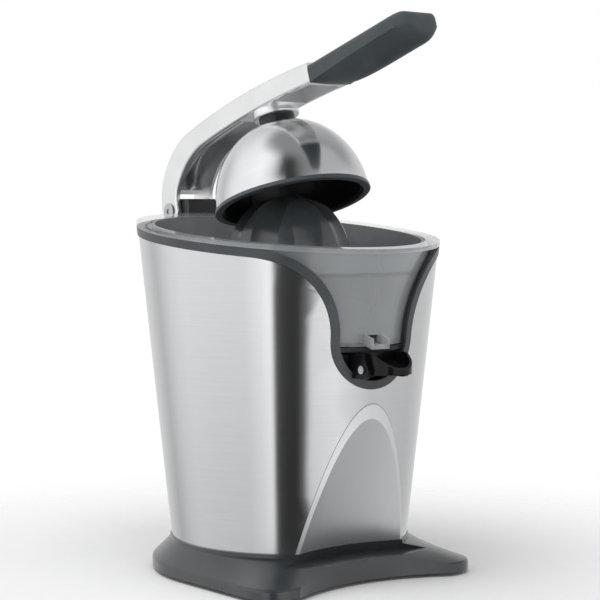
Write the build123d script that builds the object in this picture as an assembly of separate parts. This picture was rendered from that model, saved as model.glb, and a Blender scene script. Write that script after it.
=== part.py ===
from build123d import *
import os
from math import acos, atan2, cos, degrees, hypot, pi, radians, sin, sqrt, tan

# Lever-operated electric citrus juicer, in millimetres.
# +Z is up, the front (spout) faces -Y, and X = 0 is the symmetry plane.
# The origin is under the body axis, on the surface that the feet stand on.

# Clearances
skin_gap = 0.15
rim_gap = 0.3
screw_slack = 0.05
running_fit = 0.05
cut_margin = 1.0
pick_distance = 0.01
big = 400.0

# Tapered body
jacket_bottom_z = 22.0
jacket_bottom_r = 78.6
rim_z = 224.0
rim_r = 100.0
top_tilt = 6.3
jacket_wall = 1.0
core_wall = 2.6
core_flange_h = 3.0

# Dark trim round the open top and the U-shaped front window
trim_proud = 0.8
trim_band = 5.5
trim_top_drop = 3.2
window_z = 157.0
window_r = 32.0
window_flare_r = 52.0
window_flare_end_x = 78.0

# Concave leaning panel low on the front
recess_r = 120.0
recess_top_z = 106.2
recess_depth = 19.1
panel_wall = 2.0
recess_shelf_z = 15.5

# Base with two front prongs
foot_drop = 2.0
base_back_out = 12.9
prong_x = 66.0
prong_y = -74.0
prong_r = 21.0
lip_z = 8.0
lip_round = 2.5
collar_step = 1.0
collar_h = 2.5
base_wall = 2.8
base_ring_w = 9.6
base_ring_h = 5.5
glass_arc_r = 124.0
glass_arc_y = -79.0
plate_wall = 2.5
plate_gap = 0.3

# Feet and screws
foot_r = 8.0
foot_round = 0.7
foot_stud_r = 2.4
foot_stud_length = 4.5
foot_rear_inset = 15.1
foot_rear_angle = 42.9
foot_front_out = 10.0
foot_front_back = 28.0
screw_r = 1.75
screw_head_r = 3.4
screw_head_h = 2.0
screw_boss_r = 4.6
small_screw_r = 1.1
small_screw_head_r = 2.5
small_screw_head_h = 1.2
small_boss_r = 2.9
# Screw heads: shares of the head's own height and radius
head_round_share = 0.4
recess_width_share = 0.3
recess_length_share = 0.65
recess_depth_share = 0.55
plate_screw_rear_inset = 16.2
plate_screw_rear_angle = 70.6
plate_screw_length = 9.0
body_screw_inset = 4.0
body_screw_angles = [30.0, 150.0, 210.0, 330.0]
body_screw_length = 16.0
body_boss_cap = 4.5

# Cord inlet at the back of the base
inlet_z = 11.0
inlet_bore_r = 3.0
inlet_r = 4.4
inlet_collar_r = 5.6
inlet_collar_w = 2.2
inlet_round = 0.9
inlet_boss_r = 6.2
inlet_boss_out = 1.5
inlet_length = 17.6

# Juice container, strainer and sloping floor of the well
well_gap = 0.75
container_wall = 2.2
container_rim_w = 9.1
floor_slope = 10.0
floor_gap = 0.5
chimney_r = 11.2
chimney_wall = 2.0
chimney_drop = 2.0
strainer_depth = 26.0
ledge_w = 4.6
ledge_h = 2.5
strainer_gap = 0.5
strainer_wall = 1.8
strainer_rim_drop = 1.0
strainer_floor = 2.2
slot_inner_r = 46.0
slot_length = 32.0
slot_width = 2.0
slot_count = 40

# Outlet chute, spout holder and tilting drip-stop spout
spout_rise = 8.5
spout_reach = 9.0
spout_side_gap = 0.5
spout_wall = 1.6
spout_tail = 6.4
spout_nose = 5.5
spout_under = 3.4
spout_floor_rise = 4.6
spout_tip_drop = 1.0
spout_top_rise = 10.0
spout_lip_rise = 0.4
spout_to_floor = 3.0
spout_pin_r = 1.6
spout_pin_head_r = 2.6
spout_pin_head_h = 1.2
chute_half = 7.0
chute_wall = 1.6
chute_h = 5.0
chute_overlap = 3.0
chute_slope = 15.0
ear_inner_x = 14.4
ear_wall = 2.8
ear_rise = 9.4
ear_nose_r = 6.0
holder_wall = 2.5
holder_drop = 1.3

# Drive train
gear_module_slow = 1.0
gear_module_fast = 0.75
output_teeth = 53
idler_pinion_teeth = 17
idler_wheel_teeth = 47
motor_pinion_teeth = 17
pressure_angle = 20.0
root_depth = 1.25
flank_steps = 4
tooth_backlash = 0.16
idler_angle = 30.0
motor_angle = 110.0
gearbox_r = 66.0
gearbox_wall = 2.5
gearbox_floor_z = 92.0
gearbox_floor = 3.0
gearbox_cover = 3.0
gearbox_screw_inset = 8.0
gearbox_screw_angles = [0.0, 115.0, 190.0, 290.0]
gearbox_screw_depth = 12.0
gear_lift = 2.0
fast_gear_w = 8.0
gear_step = 3.0
slow_gear_w = 12.0
gear_headroom = 4.0
gear_end_gap = 0.3
hub_r = 9.0
idler_hub_r = 4.0
journal_r = 6.5
axle_r = 2.0
axle_slack = 0.025
shaft_r = 4.0
shaft_tail = 4.0
hex_flats = 6.8
hex_slack = 0.1
shaft_flange_r = 7.5
shaft_flange_h = 3.0
shaft_seat_r = 6.0
shaft_seat_h = 2.0
press_travel = 2.5
tube_bore_r = 6.6
tube_wall = 2.0
tube_drop = 6.0
bush_length = 12.0
cap_h = 3.0
cap_gap = 0.3
cap_r = 10.5
spring_space = 27.0
spring_r = 8.0
spring_wire_r = 0.7
spring_turns = 5
seal_h = 2.4
seal_slack = 0.1

# Motor and start switch
motor_r = 27.0
motor_wall = 2.0
motor_height = 54.0
motor_shaft_r = 2.5
motor_bearing_r = 5.0
motor_bearing_h = 4.0
motor_hole_r = 6.25
rotor_r = 14.5
rotor_end_gap = 9.0
stator_gap = 0.6
motor_screw_offset = 14.0
switch_x = 20.0
switch_y = 12.0
switch_h = 18.0
switch_round = 1.0
switch_drop = 8.0
switch_ear_x = 34.0
switch_ear_y = 8.0
switch_ear_h = 2.0
plunger_r = 2.5
plunger_round = 1.0
plunger_gap = 0.3
plunger_depth = 8.0

# Juicing cone
cone_r = 41.0
cone_gap = 4.2
cone_arc_r = 47.0
cone_tip_r = 3.0
flute_count = 8
flute_r = 21.0
flute_depth = 3.6
flute_turn = 28.5
cone_hub_r = 9.5
cone_cavity_r = 33.0
cone_cavity_top_r = 26.4
cone_cavity_h = 16.0
cone_socket_depth = 29.0
cone_socket_gap = 1.0

# Lever, in the closed position with the dome level and on the body axis
lever_rest_angle = 18.2
pivot_back = 24.0
pivot_drop = 21.9
arm_half = 16.0
arm_eye_r = 10.3
arm_cheek = 3.5
arm_roof = 4.0
arm_edge_round = 1.6
arm_back_r = 38.4
arm_back_turn = 40.0
arm_crown_r = 58.9
arm_crown_turn = 46.3
arm_top_r = 666.0
arm_top_turn = 13.2
arm_heel_r = 20.0
arm_heel_turn = 45.0
arm_bend_r = 57.8
arm_bend_turn = 43.0
arm_under_r = 835.0
arm_under_turn = 9.6
arm_channel_margin = 8.5
arm_front_margin = 2.5
arm_end_wall = 5.0
arm_slot_r = 17.0
arm_rib_w = 2.0
arm_rib_h = 6.0
arm_fork_rise = 37.0
arm_fork_half = 6.3
arm_tang_half = 8.0
arm_tang_rise = 27.0
arm_tang_h = 6.0
arm_tang_length = 66.0
lever_reach = 186.0
grip_length = 96.0
grip_gap = 0.1
grip_cover = 4.7
grip_fall = 3.3
grip_half = 16.4
grip_side_h = 9.2
grip_start_h = 12.3
grip_belly = 10.4
grip_start_belly = 0.8
grip_stations = 5
grip_corner_r = 4.0
grip_end_r = 7.0
grip_end_round = 5.0
pin_r = 4.0
pin_head_r = 6.0
pin_head_h = 1.0
pin_head_gap = 0.3
pin_head_round = 0.4
pin_socket_r = 2.2
pin_socket_depth = 0.8
washer_r = 9.0
washer_wall = 0.5
bracket_half = 11.6
bracket_foot_half = 16.0
bracket_below = 76.0
bracket_knee_drop = 38.0
bracket_knee_round = 30.0
bracket_foot_depth = 14.0
bracket_sink = 6.0
bracket_front = 19.0
bracket_chamfer = 2.0
bracket_rim_lift = 6.0
bracket_swing_gap = 1.0
bracket_screw_x = 8.0
bracket_screw_rises = [10.0, 24.0]
bracket_screw_length = 14.0

# Pressing dome, in the closed position
dome_lift = 5.0
dome_r = 48.5
dome_wall = 1.0
dome_flare = 2.6
dome_skirt = 6.3
ring_out = 1.2
ring_h = 1.9
ring_bevel = 0.5
ring_inner_lip = 2.5
ring_lip_h = 0.9
ring_lip_w = 0.7
ring_gap = 0.15
liner_gap = 0.15
liner_wall = 1.4
liner_ribs = 12
liner_rib_h = 1.2
liner_rib_w = 2.0
liner_rib_drop = 9.35
neck_r = 12.0
neck_h = 3.3
collar_knob_r = 15.5
collar_knob_h = 6.0
collar_knob_round = 1.2
dome_screw_r = 3.0
dome_screw_head_r = 5.5
dome_screw_head_h = 3.0
dome_screw_depth = 10.0

# Insets of the nested body walls
taper = (rim_r - jacket_bottom_r) / (rim_z - jacket_bottom_z)
core_inset = jacket_wall + skin_gap
well_inset = core_inset + core_wall
container_inset = well_inset + well_gap


def body_r(z, inset=0.0):
    """Radius of the tapered body at height z, less an inset."""
    return jacket_bottom_r + (z - jacket_bottom_z) * taper - inset


# Places that follow from the sizes: body and base
shell_top_z = rim_z + rim_r * tan(radians(top_tilt)) + trim_band
recess_foot_y = recess_depth - jacket_bottom_r
recess_lean = degrees(atan2(body_r(recess_top_z) + recess_foot_y, recess_top_z - jacket_bottom_z))
base_back_r = jacket_bottom_r + base_back_out
collar_r = jacket_bottom_r + collar_step
collar_z = jacket_bottom_z - collar_h
base_ring_inner_r = jacket_bottom_r - base_ring_w
base_ring_floor_z = jacket_bottom_z - base_ring_h
body_screw_ring_r = base_ring_inner_r + body_screw_inset
plate_top_z = foot_drop + plate_wall
inlet_back_y = base_back_r + inlet_boss_out

# Spout, container floor and strainer
spout_pivot_z = window_z - window_r + trim_band + spout_rise
spout_pivot_y = -body_r(spout_pivot_z) - spout_reach
spout_back_y = spout_pivot_y + spout_tail
spout_nose_y = spout_pivot_y - spout_nose
spout_top_z = spout_pivot_z + spout_top_rise
chute_end_y = spout_pivot_y + chute_overlap
floor_front_z = spout_top_z + spout_to_floor
floor_front_y = -body_r(floor_front_z, container_inset)
ledge_z = rim_z - strainer_depth
chimney_top_z = ledge_z - chimney_drop
tube_top_z = chimney_top_z - tube_drop

# Gears, shaft and cone
fast_gear_z = gearbox_floor_z + gearbox_floor + gear_lift
slow_gear_z = fast_gear_z + fast_gear_w + gear_step
gearbox_top_z = slow_gear_z + slow_gear_w + gear_headroom
cover_top_z = gearbox_top_z + gearbox_cover
gearbox_screw_ring_r = gearbox_r - gearbox_screw_inset
idler_distance = gear_module_slow * (output_teeth + idler_pinion_teeth) / 2
motor_distance = gear_module_fast * (idler_wheel_teeth + motor_pinion_teeth) / 2
idler_x = idler_distance * cos(radians(idler_angle))
idler_y = idler_distance * sin(radians(idler_angle))
motor_x = idler_x + motor_distance * cos(radians(motor_angle))
motor_y = idler_y + motor_distance * sin(radians(motor_angle))
motor_floor_z = gearbox_floor_z - motor_height
switch_top_z = gearbox_floor_z - switch_drop
shaft_bottom_z = gearbox_floor_z - shaft_tail
shaft_flange_z = cover_top_z + spring_space
cone_bottom_z = ledge_z + strainer_floor + cone_gap
shaft_seat_z = cone_bottom_z - screw_slack
shaft_top_z = cone_bottom_z + cone_socket_depth - cone_socket_gap

# Lever and dome
pivot_y = rim_r + pivot_back
dome_centre_z = cone_bottom_z + dome_lift
pivot_z = dome_centre_z + dome_r - pivot_drop
arm_channel_end_y = collar_knob_r + arm_channel_margin
arm_front_start_y = -collar_knob_r - arm_front_margin
arm_tang_z = pivot_z + arm_tang_rise
grip_start_y = pivot_y - lever_reach
grip_top_z = arm_tang_z + arm_tang_h + grip_cover
bracket_bottom_z = rim_z - bracket_below
bracket_screw_heights = [bracket_bottom_z + rise for rise in bracket_screw_rises]
dome_edge_r = dome_r + dome_flare
dome_edge_z = dome_centre_z - dome_skirt
ring_r = dome_edge_r + ring_out
ring_bottom_z = dome_edge_z - ring_h
collar_knob_z = dome_centre_z + dome_r + neck_h
dome_screw_top_z = collar_knob_z + collar_knob_h + dome_screw_depth


def turned(*points):
    """Solid of revolution about the body axis from a closed (radius, height) outline."""
    outline = Polyline(*[(r, 0, z) for r, z in points], close=True)
    return revolve(make_face(outline), Axis.Z)


def tube(outer_r, inner_r, low, high, x=0.0, y=0.0):
    return Pos(x, y, 0) * turned((inner_r, low), (outer_r, low), (outer_r, high), (inner_r, high))


def rod(r, low, high, x=0.0, y=0.0):
    return Pos(x, y, low) * Cylinder(r, high - low, align=(Align.CENTER, Align.CENTER, Align.MIN))


def rod_x(r, low, high, y, z):
    bar = Cylinder(r, high - low, align=(Align.CENTER, Align.CENTER, Align.MIN))
    return Pos(low, y, z) * Rot(0, 90, 0) * bar


def rod_y(r, low, high, x, z):
    bar = Cylinder(r, high - low, align=(Align.CENTER, Align.CENTER, Align.MIN))
    return Pos(x, low, z) * Rot(-90, 0, 0) * bar


def block(x0, x1, y0, y1, z0, z1):
    size = Box(x1 - x0, y1 - y0, z1 - z0, align=(Align.MIN, Align.MIN, Align.MIN))
    return Pos(x0, y0, z0) * size


def frustum(inset, low=jacket_bottom_z, high=shell_top_z):
    """Solid taper of the body, inset from its outer surface."""
    return turned((0, low), (body_r(low, inset), low), (body_r(high, inset), high), (0, high))


def taper_shell(outer_inset, inner_inset, low=jacket_bottom_z, high=shell_top_z):
    return turned(
        (body_r(low, inner_inset), low),
        (body_r(low, outer_inset), low),
        (body_r(high, outer_inset), high),
        (body_r(high, inner_inset), high),
    )


def above_top(z):
    """Everything above the tilted top plane that crosses the body axis at height z."""
    slab = Box(big, big, big, align=(Align.CENTER, Align.CENTER, Align.MIN))
    return Pos(0, 0, z) * Rot(top_tilt, 0, 0) * slab


def above_floor(drop):
    """Everything above the well's sloping floor plane, lowered by drop."""
    slab = Box(big, big, big, align=(Align.CENTER, Align.CENTER, Align.MIN))
    return Pos(0, floor_front_y, floor_front_z - drop) * Rot(floor_slope, 0, 0) * slab


def window_outline(inset):
    """U-shaped front window, seen from the front, with its sides flaring into the rim."""
    r = window_r - inset
    flare_r = window_flare_r + inset
    flare_x = window_r + window_flare_r
    end_x = window_flare_end_x
    end_z = window_z + sqrt(flare_r**2 - (flare_x - end_x) ** 2)
    mid = radians(45)
    mid_point = (flare_x - flare_r * cos(mid), window_z + flare_r * sin(mid))
    sides = []
    for side in (1, -1):
        sides.append(
            ThreePointArc(
                (side * r, window_z), (side * mid_point[0], mid_point[1]), (side * end_x, end_z)
            )
        )
        sides.append(Line((side * end_x, end_z), (side * end_x, shell_top_z)))
    bottom = ThreePointArc((r, window_z), (0, window_z - r), (-r, window_z))
    top = Line((end_x, shell_top_z), (-end_x, shell_top_z))
    return make_face(Curve() + sides + bottom + top)


def top_opening(inset):
    """The open top together with the front window, narrowed by inset all round."""
    window = extrude(Plane.XZ * window_outline(inset), amount=big / 2)
    trim_low_z = rim_z - trim_top_drop - trim_band
    return above_top(trim_low_z + inset) + window


def recess_space(extra=0.0):
    """The space in front of the leaning concave panel."""
    lean = radians(recess_lean)
    reach = recess_r
    centre = (0, recess_foot_y - reach * cos(lean), jacket_bottom_z - reach * sin(lean))
    return Pos(*centre) * Rot(recess_lean, 0, 0) * Cylinder(recess_r + extra, 3 * big)


def polar(r, angle):
    return (r * cos(radians(angle)), r * sin(radians(angle)))


def base_outline_points(inset):
    """Corner points of the base outline: tangent points of its back circle and prong circles."""
    back_r = base_back_r - inset
    tip_r = prong_r - inset
    span = hypot(prong_x, prong_y)
    normal = atan2(prong_y, prong_x) + acos((base_back_r - prong_r) / span)
    side = (back_r * cos(normal), back_r * sin(normal))
    shoulder = (prong_x + tip_r * cos(normal), prong_y + tip_r * sin(normal))
    front = (prong_x, prong_y - tip_r)
    bisect = (normal - pi / 2) / 2
    knuckle = (prong_x + tip_r * cos(bisect), prong_y + tip_r * sin(bisect))
    return back_r, side, shoulder, knuckle, front


def base_outline(inset, z):
    back_r, side, shoulder, knuckle, front = base_outline_points(inset)

    def at(point, sign=1):
        return (sign * point[0], point[1], z)

    edges = [
        Line(at(side), at(shoulder)),
        ThreePointArc(at(shoulder), at(knuckle), at(front)),
        Line(at(front), at(front, -1)),
        ThreePointArc(at(front, -1), at(knuckle, -1), at(shoulder, -1)),
        Line(at(shoulder, -1), at(side, -1)),
        ThreePointArc(at(side, -1), (0, back_r, z), at(side)),
    ]
    return make_face(Wire(edges))


def base_ring(r, inset, z):
    """Circle split at the angles of the base outline's corners, for a skirt without twist."""
    points = base_outline_points(inset)[1:]
    angles = [degrees(atan2(y, x)) for x, y in points]
    side, shoulder, knuckle, front = angles
    steps = [
        (side, (side + shoulder) / 2, shoulder),
        (shoulder, knuckle, front),
        (front, -90.0, -180.0 - front),
        (-180.0 - front, -180.0 - knuckle, -180.0 - shoulder),
        (-180.0 - shoulder, -180.0 - (side + shoulder) / 2, -180.0 - side),
        (180.0 - side, 90.0, side),
    ]
    edges = []
    for start, middle, end in steps:
        edges.append(ThreePointArc(*[(*polar(r, a), z) for a in (start, middle, end)]))
    return make_face(Wire(edges))


def base_form(inset, low, lip, ring_r, ring_z):
    foot = extrude(base_outline(inset, low), amount=lip - low)
    skirt = loft([base_outline(inset, lip), base_ring(ring_r, inset, ring_z)], ruled=True)
    return foot + skirt


def glass_arc(extra=0.0):
    """Round space for the glass, cut into the front of the base."""
    return rod(glass_arc_r + extra, -big, big, 0, glass_arc_y - glass_arc_r)


def above(z):
    return block(-big, big, -big, big, z, z + 2 * big)


def lever_opened(shape):
    """Turns a lever piece from the closed position to the position at rest."""
    turn = Pos(0, pivot_y, pivot_z) * Rot(-lever_rest_angle, 0, 0) * Pos(0, -pivot_y, -pivot_z)
    return turn * shape


def screw(x, y, under_head_z, length, r=screw_r, head_r=screw_head_r, head_h=screw_head_h):
    """Pan-head screw pointing up, with a cross recess in its head."""
    body = rod(r, under_head_z, under_head_z + length, x, y)
    head = rod(head_r, under_head_z - head_h, under_head_z, x, y)
    head = fillet(head.edges().group_by(Axis.Z)[0], head_h * head_round_share)
    low_z = under_head_z - head_h
    narrow = head_r * recess_width_share
    wide = head_r * recess_length_share
    for half_x, half_y in ((narrow, wide), (wide, narrow)):
        top_z = low_z + head_h * recess_depth_share
        head -= block(x - half_x, x + half_x, y - half_y, y + half_y, low_z - cut_margin, top_z)
    return body + head


# Body shells

def make_steel_jacket():
    shell = taper_shell(0, jacket_wall)
    shell -= top_opening(0)
    shell -= recess_space(panel_wall + skin_gap)
    return shell - bracket_screw_holes()


def make_top_trim():
    band = taper_shell(-trim_proud, core_inset - skin_gap / 2, window_z - window_r - trim_band)
    return (band & top_opening(skin_gap)) - top_opening(trim_band)


def make_recess_panel():
    sheet = recess_space(panel_wall) - recess_space()
    return sheet & frustum(0.0)


def bracket_screw_seats():
    """Points under the heads of the bracket screws, on the inside of the body."""
    seats = []
    for x in (-bracket_screw_x, bracket_screw_x):
        for z in bracket_screw_heights:
            edge_x = bracket_screw_x + screw_head_r
            wall_y = sqrt(body_r(z - screw_head_r, well_inset) ** 2 - edge_x**2)
            seats.append((x, wall_y - screw_slack, z))
    return seats


def bracket_screw_holes():
    holes = Part()
    for x, y, z in bracket_screw_seats():
        holes += rod_y(screw_r + screw_slack, y, y + bracket_screw_length + cut_margin, x, z)
    return holes


def gearbox_screw_places():
    return [polar(gearbox_screw_ring_r, a) for a in gearbox_screw_angles]


def body_screw_places():
    return [polar(body_screw_ring_r, a) for a in body_screw_angles]


def make_body_core():
    wall = taper_shell(core_inset, well_inset) - top_opening(trim_band)
    behind = panel_wall + skin_gap
    middle = core_inset + core_wall / 2
    wall -= recess_space(behind)
    wall += (recess_space(behind + core_wall) - recess_space(behind)) & frustum(middle)
    floor_slab = above_floor(floor_gap + core_wall) - above_floor(floor_gap)
    core = wall + (floor_slab & frustum(middle))
    flange_top_z = jacket_bottom_z + core_flange_h
    flange = tube(body_r(jacket_bottom_z, middle), base_ring_inner_r, jacket_bottom_z, flange_top_z)
    core += flange - recess_space(behind)
    lower = above(0) - above_floor(floor_gap + core_wall / 2)
    for x, y in gearbox_screw_places():
        core += rod(screw_boss_r, cover_top_z, rim_z, x, y) & lower
        core -= rod(screw_r + screw_slack, 0, cover_top_z + gearbox_screw_depth, x, y)
    screw_top_z = base_ring_floor_z + body_screw_length
    for x, y in body_screw_places():
        boss = rod(screw_boss_r, jacket_bottom_z, screw_top_z + body_boss_cap, x, y)
        core += boss & frustum(middle)
        core -= rod(screw_r + screw_slack, 0, screw_top_z + cut_margin, x, y)
    core += rod(tube_bore_r + tube_wall, shaft_flange_z + shaft_flange_h + rim_gap, tube_top_z)
    core -= rod(tube_bore_r, 0, rim_z)
    return core - bracket_screw_holes()


# Base

def foot_places():
    rear_x, rear_y = polar(base_back_r - foot_rear_inset, foot_rear_angle)
    front_x = prong_x + foot_front_out
    front_y = prong_y + foot_front_back
    return [(rear_x, rear_y), (-rear_x, rear_y), (front_x, front_y), (-front_x, front_y)]


def plate_screw_places():
    rear_x, rear_y = polar(base_back_r - plate_screw_rear_inset, plate_screw_rear_angle)
    return [(rear_x, rear_y), (-rear_x, rear_y), (prong_x, prong_y), (-prong_x, prong_y)]


def make_inlet_boss():
    return rod_y(inlet_boss_r, inlet_back_y - inlet_length, inlet_back_y, 0, inlet_z)


def base_hollow():
    """The space inside the base, less the bosses that stand in it."""
    low = foot_drop - cut_margin
    space = base_form(base_wall, low, lip_z - base_wall / 2, collar_r - base_wall, base_ring_floor_z)
    space += rod(base_ring_inner_r, low, jacket_bottom_z + cut_margin)
    space -= glass_arc(base_wall)
    space -= recess_space(base_wall) & above(recess_shelf_z - base_wall)
    space -= make_inlet_boss()
    for x, y in plate_screw_places():
        space -= rod(screw_boss_r, plate_top_z, jacket_bottom_z, x, y)
    return space


def make_base_housing():
    housing = base_form(0, foot_drop, lip_z, collar_r, collar_z)
    level = housing.edges().filter_by(Axis.Z, reverse=True)
    rounded = level.filter_by(lambda e: abs(e.center().Z - lip_z) < pick_distance)
    housing = fillet(rounded, lip_round)
    housing += rod(collar_r, collar_z - cut_margin, jacket_bottom_z)
    housing = housing + make_inlet_boss() - base_hollow()
    housing -= glass_arc()
    housing -= recess_space() & above(recess_shelf_z)
    for x, y in plate_screw_places():
        housing -= rod(screw_r + screw_slack, 0, plate_top_z + plate_screw_length, x, y)
    for x, y in body_screw_places():
        housing -= rod(screw_r + screw_slack, 0, big, x, y)
        housing -= rod(screw_head_r + screw_slack, 0, base_ring_floor_z, x, y)
    return housing - rod_y(inlet_r + screw_slack, 0, big, 0, inlet_z)


def make_bottom_plate():
    inset = base_wall + plate_gap
    plate = extrude(base_outline(inset, foot_drop), amount=plate_wall)
    plate -= glass_arc(inset)
    for x, y in foot_places():
        plate -= rod(foot_stud_r + screw_slack, 0, big, x, y)
    for x, y in plate_screw_places():
        plate -= rod(screw_r + screw_slack, 0, big, x, y)
        plate -= rod(screw_head_r + screw_slack, 0, foot_drop + plate_wall / 2, x, y)
    return plate


def make_bottom_screws():
    seat_z = foot_drop + plate_wall / 2
    head_h = plate_wall / 2
    length = plate_screw_length
    return [screw(x, y, seat_z, length, head_h=head_h) for x, y in plate_screw_places()]


def make_body_screws():
    return [screw(x, y, base_ring_floor_z, body_screw_length) for x, y in body_screw_places()]


def make_rubber_feet():
    feet = []
    for x, y in foot_places():
        pad = rod(foot_r, 0, foot_drop, x, y)
        pad = fillet(pad.edges().group_by(Axis.Z)[0], foot_round)
        feet.append(pad + rod(foot_stud_r, foot_drop, foot_drop + foot_stud_length, x, y))
    return feet


def make_cord_inlet():
    start_y = inlet_back_y - inlet_length
    bush = rod_y(inlet_r, start_y, inlet_back_y, 0, inlet_z)
    bush += rod_y(inlet_collar_r, inlet_back_y, inlet_back_y + inlet_collar_w, 0, inlet_z)
    bush = fillet(bush.edges().group_by(Axis.Y)[-1], inlet_round)
    return bush - rod_y(inlet_bore_r, start_y - cut_margin, big, 0, inlet_z)


# Juice container, strainer and spout

def make_juice_container():
    inner_inset = container_inset + container_wall
    outer = frustum(container_inset) & above_floor(0)
    hollow = frustum(inner_inset) & above_floor(-container_wall)
    bowl = outer - hollow
    bowl -= above_top(rim_z)
    rim = taper_shell(-trim_proud, container_rim_w, window_z)
    rim = (rim & above_top(rim_z - trim_top_drop + rim_gap)) - above_top(rim_z)
    bowl += rim
    ledge_outer = container_inset + container_wall / 2
    bowl += taper_shell(ledge_outer, inner_inset + ledge_w, ledge_z - ledge_h, ledge_z)
    chimney = rod(chimney_r, floor_front_z, chimney_top_z) & above_floor(-container_wall / 2)
    bowl += chimney
    bowl -= rod(chimney_r - chimney_wall, 0, rim_z)
    return bowl + make_chute() - chute_channel()


def chute_profile(rise):
    """Side outline of the outlet chute, with its floor raised by rise."""
    start_y = floor_front_y + container_wall / 2
    lip_y = floor_front_y - container_wall
    fall = (lip_y - chute_end_y) * tan(radians(chute_slope))
    low_z = floor_front_z + container_wall - chute_wall
    points = [
        (start_y, low_z + rise),
        (lip_y, low_z + rise),
        (chute_end_y, low_z - fall + rise),
        (chute_end_y, low_z - fall + chute_wall + chute_h),
        (lip_y, low_z + chute_wall + chute_h),
        (start_y, low_z + chute_wall + chute_h),
    ]
    return make_face(Polyline(*points, close=True))


def make_chute():
    return extrude(Plane.YZ * chute_profile(0), amount=chute_half, both=True)


def chute_channel():
    inner_half = chute_half - chute_wall
    channel = extrude(Plane.YZ * chute_profile(chute_wall), amount=inner_half, both=True)
    through_wall = Pos(0, container_wall * 2, 0) * channel
    past_end = Pos(0, -chute_wall, 0) * (channel - above_floor(-container_wall))
    return channel + through_wall + past_end


def make_strainer():
    outer_inset = container_rim_w + strainer_gap
    wall = taper_shell(outer_inset, outer_inset + strainer_wall, ledge_z)
    wall -= above_top(rim_z - strainer_rim_drop)
    floor_top = ledge_z + strainer_floor
    floor_disc = turned(
        (chimney_r + strainer_gap, ledge_z),
        (body_r(ledge_z, outer_inset), ledge_z),
        (body_r(floor_top, outer_inset), floor_top),
        (chimney_r + strainer_gap, floor_top),
    )
    half = slot_width / 2
    slot = block(slot_inner_r, slot_inner_r + slot_length, -half, half, 0, rim_z)
    for i in range(slot_count):
        floor_disc -= Rot(0, 0, i * 360 / slot_count) * slot
    return wall + floor_disc


def ear_face():
    """Side outline of one ear of the spout holder, with a round nose about the spout pin."""
    low_z = spout_pivot_z - ear_nose_r
    back_y = -body_r(low_z, well_inset + holder_wall)
    top_z = spout_pivot_z + ear_rise
    nose_y = spout_pivot_y - ear_nose_r
    nose = ThreePointArc(
        (spout_pivot_y, low_z),
        (spout_pivot_y - ear_nose_r * cos(pi / 4), spout_pivot_z - ear_nose_r * sin(pi / 4)),
        (nose_y, spout_pivot_z),
    )
    rest = Polyline(
        (nose_y, spout_pivot_z),
        (spout_pivot_y, top_z),
        (back_y, top_z),
        (back_y, low_z),
        (spout_pivot_y, low_z),
    )
    return make_face(Curve() + [nose, rest])


def make_spout_holder():
    opening = extrude(Plane.XZ * window_outline(trim_band / 2), amount=big / 2)
    seat = well_inset + screw_slack
    back = taper_shell(seat, seat + holder_wall, window_z - window_r)
    top_z = floor_front_z - floor_gap - core_wall - holder_drop
    plate = (back & opening) - above(top_z)
    ear = extrude(Plane.YZ * ear_face(), amount=ear_wall)
    window = extrude(Plane.XZ * window_outline(trim_band + rim_gap), amount=big / 2)
    ear_stop = frustum(-trim_proud - rim_gap) - frustum(seat) - window + frustum(seat + holder_wall)
    holder = plate
    for x in (ear_inner_x, -ear_inner_x - ear_wall):
        holder += Pos(x, 0, 0) * ear - ear_stop
    return holder - rod_x(spout_pin_r + screw_slack, -big, big, spout_pivot_y, spout_pivot_z)


def make_spout_pin():
    out_x = ear_inner_x + ear_wall + screw_slack
    pin = rod_x(spout_pin_r, -out_x, out_x, spout_pivot_y, spout_pivot_z)
    for low in (-out_x - spout_pin_head_h, out_x):
        pin += rod_x(spout_pin_head_r, low, low + spout_pin_head_h, spout_pivot_y, spout_pivot_z)
    return pin


def spout_half(inset):
    """Half width of the spout, which is also the radius of its nose in plan."""
    return ear_inner_x - spout_side_gap - inset


def spout_plan(inset):
    """Plan of the spout: straight sides running into a half-round nose."""
    half = spout_half(inset)
    back_y = spout_back_y - inset
    nose = ThreePointArc((half, spout_nose_y), (0, spout_nose_y - half), (-half, spout_nose_y))
    sides = Polyline((-half, spout_nose_y), (-half, back_y), (half, back_y), (half, spout_nose_y))
    return make_face(Curve() + [nose, sides])


def spout_side(points):
    return extrude(Plane.YZ * make_face(Polyline(*points, close=True)), amount=big / 4, both=True)


def make_drip_spout():
    tip_y = spout_nose_y - spout_half(0)
    low_z = spout_pivot_z - spout_under
    tip_floor_z = spout_pivot_z - spout_tip_drop
    outer = extrude(Pos(0, 0, low_z) * spout_plan(0), amount=rim_z)
    outer = outer & spout_side([
        (0, low_z),
        (spout_nose_y, low_z),
        (tip_y, tip_floor_z - spout_wall),
        (tip_y, spout_pivot_z + spout_lip_rise),
        (spout_nose_y, spout_top_z),
        (0, spout_top_z),
    ])
    hollow = extrude(Pos(0, 0, low_z) * spout_plan(spout_wall), amount=rim_z)
    hollow = hollow & spout_side([
        (spout_back_y, spout_pivot_z + spout_floor_rise),
        (tip_y, tip_floor_z),
        (tip_y, rim_z),
        (spout_back_y, rim_z),
    ])
    return outer - hollow - rod_x(spout_pin_r + running_fit, -big, big, spout_pivot_y, spout_pivot_z)


# Drive train

def involute(angle):
    return tan(angle) - angle


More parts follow.
